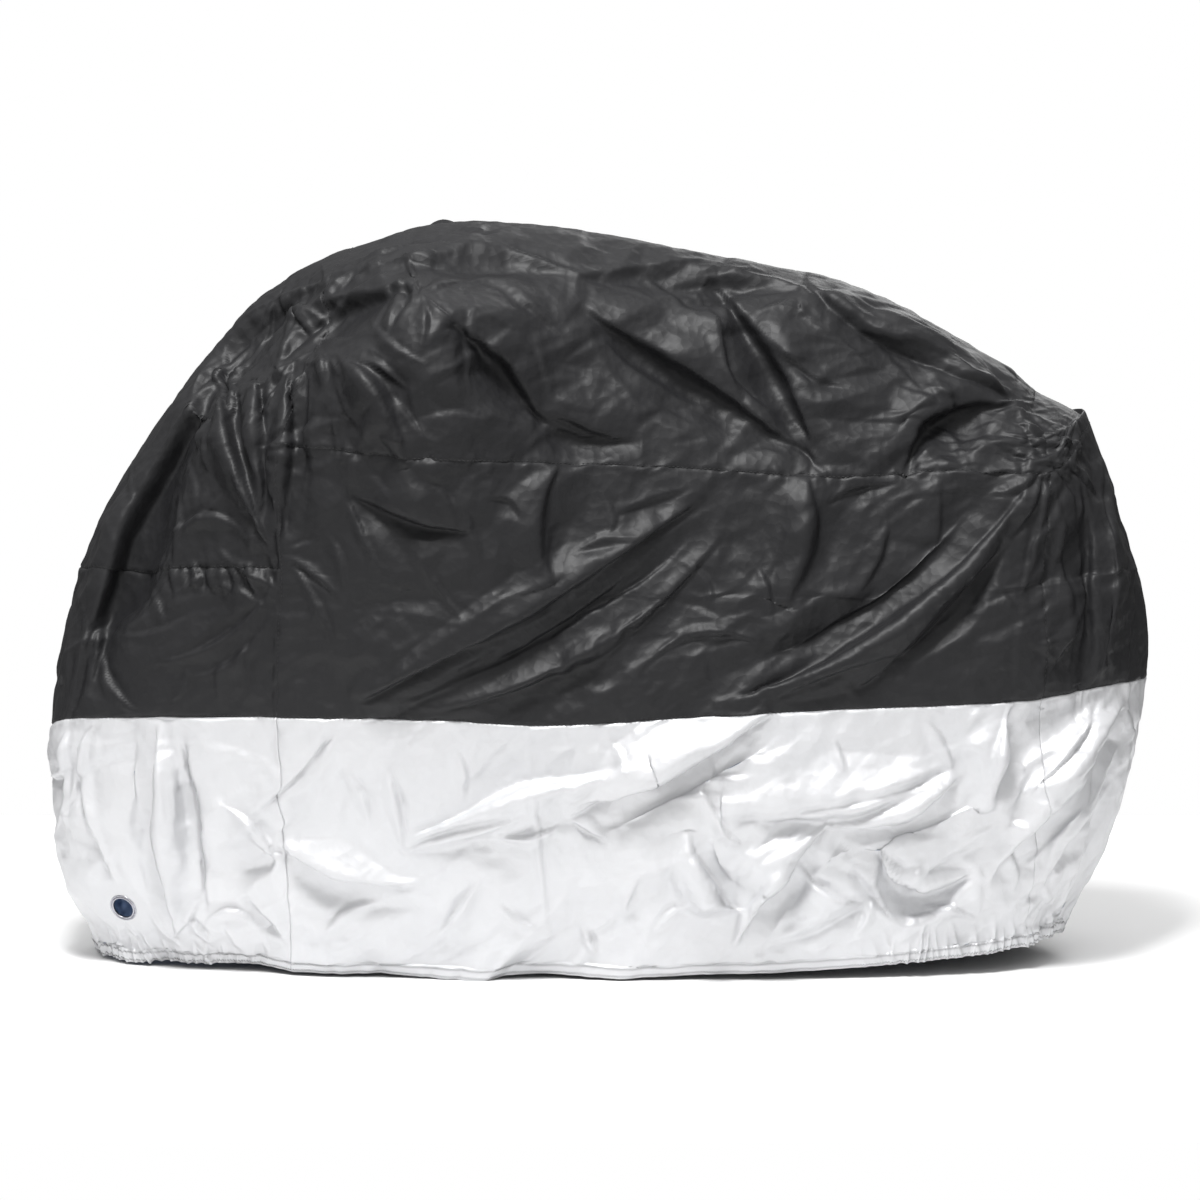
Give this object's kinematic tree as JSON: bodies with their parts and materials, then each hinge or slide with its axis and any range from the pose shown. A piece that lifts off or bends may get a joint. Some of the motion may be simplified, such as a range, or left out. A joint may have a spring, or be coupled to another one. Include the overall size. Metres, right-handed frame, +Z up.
{
  "type": "motorcycle cover",
  "caption": "Fitted motorcycle cover in black coated cloth with a silver skirt, an elastic hem and a metal eyelet low on each side for a lock.",
  "frame": {"origin": "under the cloth at the highest point of the top, on the centre line, where the cover rests on the motorcycle", "axes": "+X from the nose towards the tail, +Y towards the far side, +Z up"},
  "size_m": [2.1965, 0.8789, 1.4653],
  "materials": {
    "black_cloth": "satin, coated taffeta",
    "silver_cloth": "satin, silver-coated taffeta",
    "eyelet_metal": "bright nickel"
  },
  "bodies": {
    "root": {"nose_upper_panel": "black_cloth", "nose_lower_panel": "black_cloth", "top_panel": "black_cloth", "near_side_panel": "black_cloth", "far_side_panel": "black_cloth", "tail_panel": "black_cloth", "front_skirt": "silver_cloth", "near_skirt": "silver_cloth", "far_skirt": "silver_cloth", "rear_skirt": "silver_cloth", "near_eyelet": "eyelet_metal", "far_eyelet": "eyelet_metal"}
  },
  "joints": []
}
